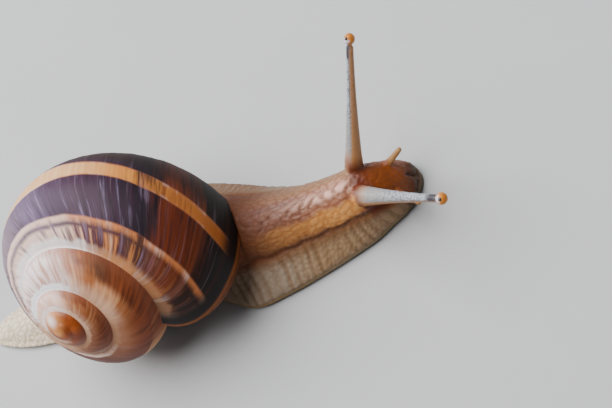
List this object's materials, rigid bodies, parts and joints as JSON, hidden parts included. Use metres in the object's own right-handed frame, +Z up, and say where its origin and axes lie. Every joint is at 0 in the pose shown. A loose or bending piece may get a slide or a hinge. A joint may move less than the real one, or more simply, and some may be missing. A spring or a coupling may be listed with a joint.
{
  "type": "land snail",
  "caption": "Banded land snail of the Helix kind, creeping flat on its sole with its long eye tentacles out; a still, life-size display model.",
  "frame": {"origin": "on the ground under the shell, on the flat of the sole near its midline", "axes": "+X forward to the head, +Y to the animal's left, +Z up from the ground"},
  "size_m": [0.1002, 0.033, 0.0329],
  "materials": {
    "shell": "glossy shell skin over lime, dark brown bands on cream and tan with growth lines",
    "skin": "moist granular skin, pinkish grey warts on brown, paler at the sole's edge",
    "eye": "wet black"
  },
  "bodies": {
    "root": {"shell": "shell", "tail": "skin", "foot": "skin", "mantle_collar": "skin", "neck": "skin", "head": "skin", "tentacle_upper_left_root": "skin", "tentacle_upper_left_shaft": "skin", "tentacle_upper_left_bulb": "skin", "tentacle_upper_right_root": "skin", "tentacle_upper_right_shaft": "skin", "tentacle_upper_right_bulb": "skin", "tentacle_lower_left": "skin", "tentacle_lower_right": "skin", "eye_left": "eye", "eye_right": "eye"}
  },
  "joints": []
}
